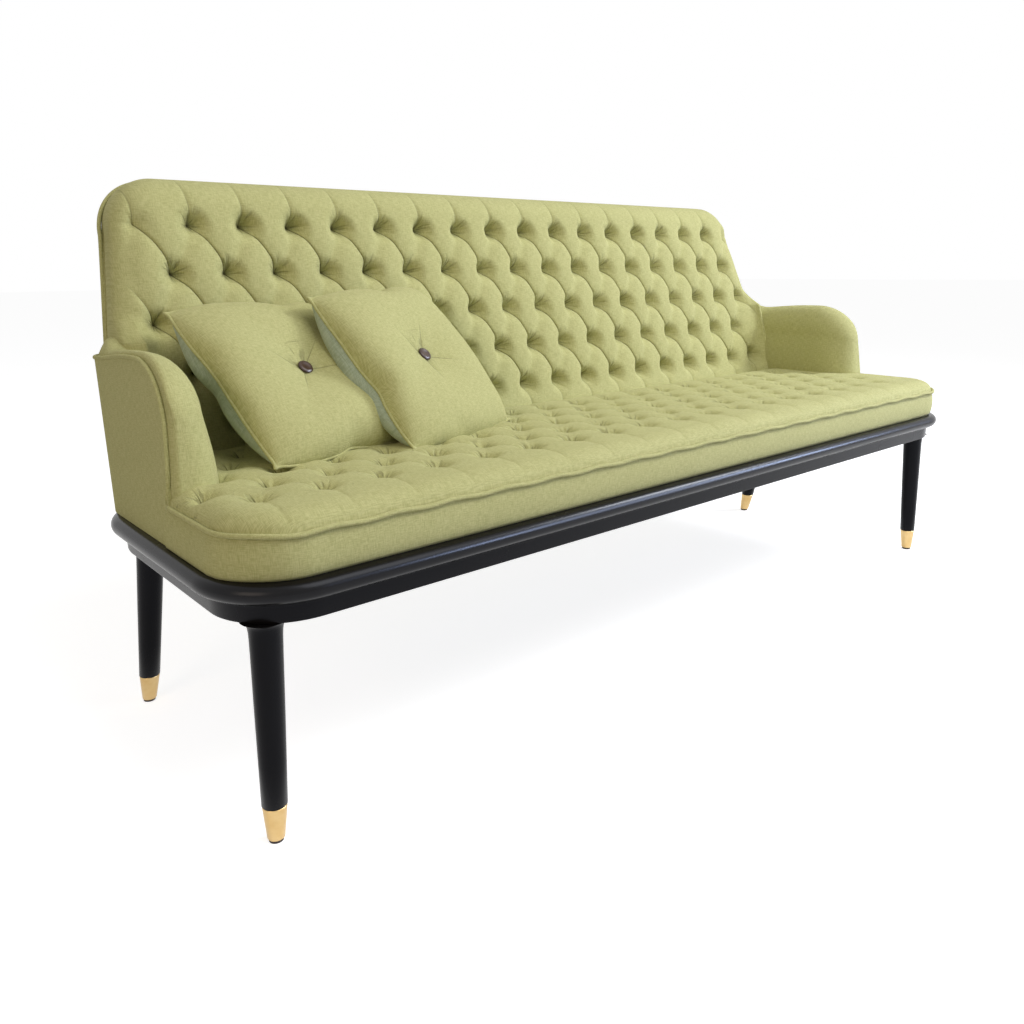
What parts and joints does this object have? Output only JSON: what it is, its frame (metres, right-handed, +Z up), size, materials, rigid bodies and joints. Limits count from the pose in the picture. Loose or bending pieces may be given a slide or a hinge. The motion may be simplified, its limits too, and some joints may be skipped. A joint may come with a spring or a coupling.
{
  "type": "three-seat sofa",
  "caption": "Compact tufted sofa with low arms, a black moulded base on turned legs with brass ferrules, and loose square cushions.",
  "frame": {"origin": "on the floor under the middle of the sofa's outline", "axes": "+X along the sofa to the right of someone facing it, +Y from front to back, +Z up"},
  "size_m": [1.96, 0.7499, 0.915],
  "materials": {
    "olive_linen": "slubbed olive-green weave, matt",
    "black_lacquer": "black satin lacquer",
    "brass": "satin",
    "glide": "dark matt",
    "bolt_steel": "plain",
    "raw_wood": "unfinished frame timber",
    "base_cloth": "thin black lining",
    "brown_button": "dark brown, slightly glossy"
  },
  "bodies": {
    "sofa": {"front_rail": "black_lacquer", "rear_rail": "black_lacquer", "left_rail": "black_lacquer", "right_rail": "black_lacquer", "corner_block_front_left": "black_lacquer", "corner_block_front_right": "black_lacquer", "corner_block_rear_left": "black_lacquer", "corner_block_rear_right": "black_lacquer", "leg_front_left": "black_lacquer", "leg_front_right": "black_lacquer", "leg_rear_left": "black_lacquer", "leg_rear_right": "black_lacquer", "ferrule_front_left": "brass", "ferrule_front_right": "brass", "ferrule_rear_left": "brass", "ferrule_rear_right": "brass", "glide_front_left": "glide", "glide_front_right": "glide", "glide_rear_left": "glide", "glide_rear_right": "glide", "leg_bolt_front_left": "bolt_steel", "leg_bolt_front_right": "bolt_steel", "leg_bolt_rear_left": "bolt_steel", "leg_bolt_rear_right": "bolt_steel", "seat_deck": "raw_wood", "cross_rail_1": "raw_wood", "cross_rail_2": "raw_wood", "cross_rail_3": "raw_wood", "dust_cover": "base_cloth", "seat_pad": "olive_linen", "seat_welt": "olive_linen", "back_pad": "olive_linen", "back_panel": "olive_linen", "back_welt": "olive_linen", "back_bottom_rail": "raw_wood", "back_top_rail": "raw_wood", "back_post_1": "raw_wood", "back_post_2": "raw_wood", "back_post_3": "raw_wood", "back_post_4": "raw_wood", "arm_pad_left": "olive_linen", "arm_pad_right": "olive_linen", "arm_panel_left": "olive_linen", "arm_panel_right": "olive_linen", "arm_welt_left": "olive_linen", "arm_welt_right": "olive_linen", "arm_frame_left": "raw_wood", "arm_frame_right": "raw_wood"},
    "cushion_left": {"cushion_left": "olive_linen", "cushion_welt_left": "olive_linen", "cushion_button_left_front": "brown_button", "cushion_button_left_rear": "brown_button"},
    "cushion_right": {"cushion_right": "olive_linen", "cushion_welt_right": "olive_linen", "cushion_button_right_front": "brown_button", "cushion_button_right_rear": "brown_button"}
  },
  "joints": [
    {"name": "cushion_left_lift", "type": "slide", "parent": "sofa", "child": "cushion_left", "axis": [0, 0, 1], "range_m": [0, 0.3]},
    {"name": "cushion_right_lift", "type": "slide", "parent": "cushion_left", "child": "cushion_right", "axis": [0, 0, 1], "range_m": [0, 0.3]}
  ]
}
